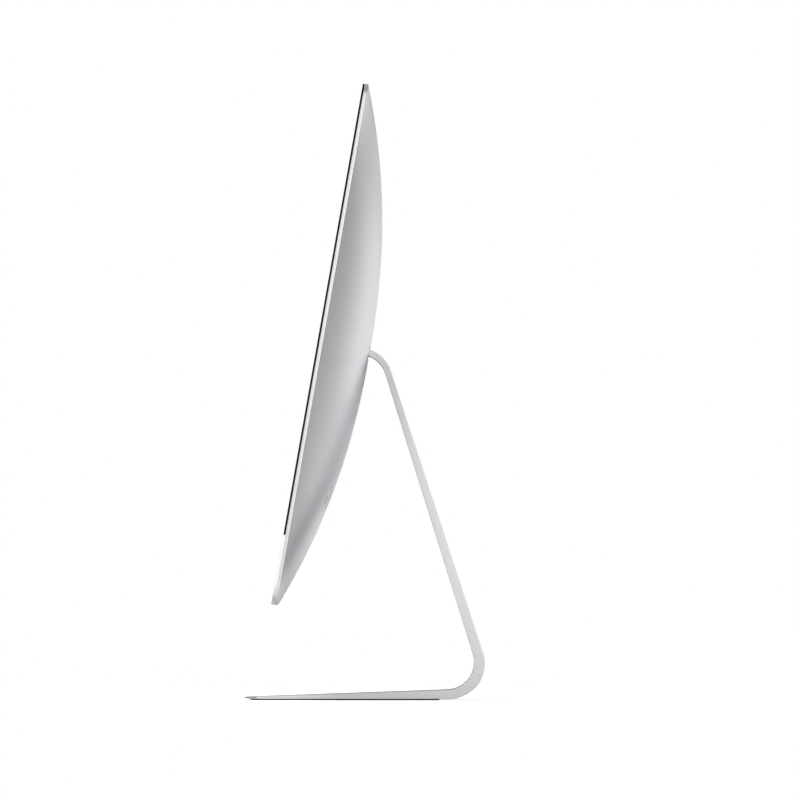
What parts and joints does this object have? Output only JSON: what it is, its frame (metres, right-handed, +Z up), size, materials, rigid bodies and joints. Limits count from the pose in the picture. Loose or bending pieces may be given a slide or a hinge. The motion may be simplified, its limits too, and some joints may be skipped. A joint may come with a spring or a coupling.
{
  "type": "all in one desktop computer",
  "caption": "All-in-one desktop computer: slim tilting display housing with a domed aluminium back on a bent one-piece aluminium stand.",
  "frame": {"origin": "on the desk, under the middle of the bounding box", "axes": "+Z up; the screen faces -Y; +X is to the right of a user facing the screen"},
  "size_m": [0.65, 0.204, 0.5215],
  "materials": {
    "anodised_aluminium": "bead-blasted and anodised, satin",
    "black_glass": "polished cover glass over a black printed border",
    "lcd": "switched-off display behind glass",
    "steel": "plain bright steel",
    "drive_casting": "cast, matte",
    "copper": "bare copper",
    "circuit_board": "solder-masked board",
    "black_plastic": "fine moulded texture",
    "grey_plastic": "fine moulded texture",
    "rubber": "matte"
  },
  "bodies": {
    "stand": {"stand": "anodised_aluminium", "foot_pad": "rubber", "hinge_shaft": "steel"},
    "display": {"rear_housing": "anodised_aluminium", "cover_glass": "black_glass", "display_gasket": "rubber", "lcd_panel": "lcd", "backlight_module": "steel", "camera_module": "black_plastic", "microphone": "black_plastic", "hinge_bracket_left": "steel", "friction_clutch_left": "steel", "hinge_bracket_right": "steel", "friction_clutch_right": "steel", "hinge_mount_plate": "steel", "hinge_screw_1": "steel", "hinge_screw_2": "steel", "hinge_screw_3": "steel", "hinge_screw_4": "steel", "hinge_spring_left": "steel", "hinge_spring_right": "steel", "logic_board": "circuit_board", "cpu_heatsink": "copper", "heat_pipe": "copper", "fin_stack": "anodised_aluminium", "hard_drive": "drive_casting", "power_supply": "circuit_board", "memory_socket": "black_plastic", "memory_module_1": "circuit_board", "memory_module_2": "circuit_board", "solid_state_drive": "circuit_board", "wireless_card": "circuit_board", "display_cable": "black_plastic", "fan_housing": "black_plastic", "fan_cover": "black_plastic", "exhaust_duct": "black_plastic", "vent_grille": "black_plastic", "left_speaker": "black_plastic", "right_speaker": "black_plastic", "power_inlet": "black_plastic", "power_pin_1": "steel", "power_pin_2": "steel", "power_pin_3": "steel", "usb_port_1": "steel", "usb_port_2": "steel", "usb_port_3": "steel", "usb_port_4": "steel", "data_port_1": "steel", "data_port_2": "steel", "network_jack": "black_plastic", "card_slot": "black_plastic", "audio_jack": "black_plastic", "antenna_window": "grey_plastic", "power_switch": "black_plastic"},
    "fan": {"fan_impeller": "black_plastic"},
    "memory_door": {"memory_door": "anodised_aluminium"},
    "power_button": {"power_button": "anodised_aluminium"},
    "door_release": {"door_release_button": "grey_plastic"}
  },
  "joints": [
    {"name": "display_tilt", "type": "hinge", "parent": "stand", "child": "display", "pos_m": [0, -0.0035, 0.2971], "axis": [-1, 0, 0], "range_deg": [-15, 15]},
    {"name": "fan_spin", "type": "hinge", "parent": "display", "child": "fan", "pos_m": [0.006, -0.01101, 0.37255], "axis": [0, 0.9848, -0.1736], "continuous": true},
    {"name": "memory_door_swing", "type": "hinge", "parent": "display", "child": "memory_door", "pos_m": [0, -0.03701, 0.14968], "axis": [-1, 0, 0], "range_deg": [0, 60]},
    {"name": "power_button_press", "type": "slide", "parent": "display", "child": "power_button", "axis": [0, -0.9848, 0.1736], "range_m": [0, 0.0006], "stiffness_N_per_m": 400},
    {"name": "door_release_press", "type": "slide", "parent": "display", "child": "door_release", "axis": [0, -0.9848, 0.1736], "range_m": [0, 0.003], "stiffness_N_per_m": 200}
  ]
}
